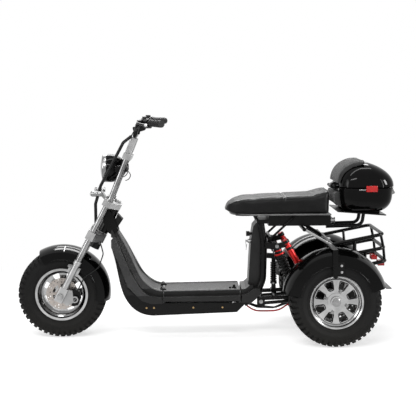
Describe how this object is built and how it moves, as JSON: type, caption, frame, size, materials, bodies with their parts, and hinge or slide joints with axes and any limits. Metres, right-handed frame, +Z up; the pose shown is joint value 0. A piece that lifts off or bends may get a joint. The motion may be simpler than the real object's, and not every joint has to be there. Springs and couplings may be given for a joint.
{
  "type": "electric trike",
  "caption": "Low-deck electric scooter trike with a fat front wheel, bench seat, rear rack and hinged top box.",
  "frame": {"origin": "on the ground under the middle of the vehicle's length and width", "axes": "+X forward, +Y to the rider's left, +Z up"},
  "size_m": [1.9635, 0.754, 1.145],
  "materials": {
    "tyre_rubber": "matt",
    "polished_alloy": "polished",
    "fork_silver": "satin",
    "chrome_tube": "polished",
    "disc_steel": "brushed",
    "black_satin": "satin",
    "black_gloss": "gloss",
    "cover_grey": "grained",
    "black_plastic": "matt",
    "grip_rubber": "matt",
    "lamp_glass": "clear",
    "seat_leather": "grained",
    "pad_fabric": "woven",
    "red_anodised": "anodised",
    "red_lens": "gloss",
    "cable_black": "matt",
    "motor_metal": "cast"
  },
  "bodies": {
    "frame": {"head_tube": "black_satin", "controller_box": "black_plastic", "lower_body": "black_satin", "battery": "black_plastic", "front_cover": "cover_grey", "pillar_cover": "cover_grey", "frame_tubes": "black_satin", "seat_tray": "black_satin", "rear_axle": "motor_metal", "shock_absorbers": "black_satin", "shock_reservoirs": "red_anodised", "rear_fenders": "black_gloss", "rear_rack": "black_satin", "tail_lights": "red_lens", "box_base": "black_gloss", "backrest_lower": "pad_fabric", "motor_cables": "cable_black"},
    "fork": {"fork_sliders": "fork_silver", "fork_tubes": "chrome_tube", "lower_clamp": "fork_silver", "upper_clamp": "fork_silver", "top_clamp": "fork_silver", "handlebar": "black_satin", "grips": "grip_rubber", "controls": "black_plastic", "brake_levers": "black_satin", "headlight_bowl": "black_gloss", "headlight_front": "lamp_glass", "turn_signals": "chrome_tube", "horn": "black_plastic", "fork_cables": "cable_black", "front_fender": "black_gloss", "front_caliper": "black_satin"},
    "front_wheel": {"front_tyre": "tyre_rubber", "front_rim": "polished_alloy", "front_disc": "disc_steel"},
    "rear_wheel_left": {"rear_tyre_left": "tyre_rubber", "rear_rim_left": "polished_alloy"},
    "rear_wheel_right": {"rear_tyre_right": "tyre_rubber", "rear_rim_right": "polished_alloy"},
    "deck_lid": {"deck_lid": "cover_grey"},
    "box_lid": {"box_lid": "black_gloss", "backrest_upper": "pad_fabric"},
    "seat": {"seat": "seat_leather", "seat_pan": "black_plastic"}
  },
  "joints": [
    {"name": "steering", "type": "hinge", "parent": "frame", "child": "fork", "pos_m": [0.51183, 0, 0.60564], "axis": [-0.4617, 0, 0.887], "range_deg": [-35, 35]},
    {"name": "front_wheel_spin", "type": "hinge", "parent": "fork", "child": "front_wheel", "pos_m": [0.75325, 0, 0.2285], "axis": [0, 1, 0], "continuous": true},
    {"name": "rear_wheel_left_spin", "type": "hinge", "parent": "frame", "child": "rear_wheel_left", "pos_m": [-0.63375, 0.268, 0.2285], "axis": [0, 1, 0], "continuous": true},
    {"name": "rear_wheel_right_spin", "type": "hinge", "parent": "frame", "child": "rear_wheel_right", "pos_m": [-0.63375, -0.268, 0.2285], "axis": [0, 1, 0], "continuous": true},
    {"name": "deck_lid_hinge", "type": "hinge", "parent": "frame", "child": "deck_lid", "pos_m": [0.22925, 0, 0.254], "axis": [0, 1, 0], "range_deg": [0, 60]},
    {"name": "box_lid_hinge", "type": "hinge", "parent": "frame", "child": "box_lid", "pos_m": [-0.64475, 0, 0.7795], "axis": [0, 1, 0], "range_deg": [0, 70]},
    {"name": "seat_hinge", "type": "hinge", "parent": "frame", "child": "seat", "pos_m": [-0.24975, 0, 0.625], "axis": [0, -1, 0], "range_deg": [-35, 0]}
  ]
}
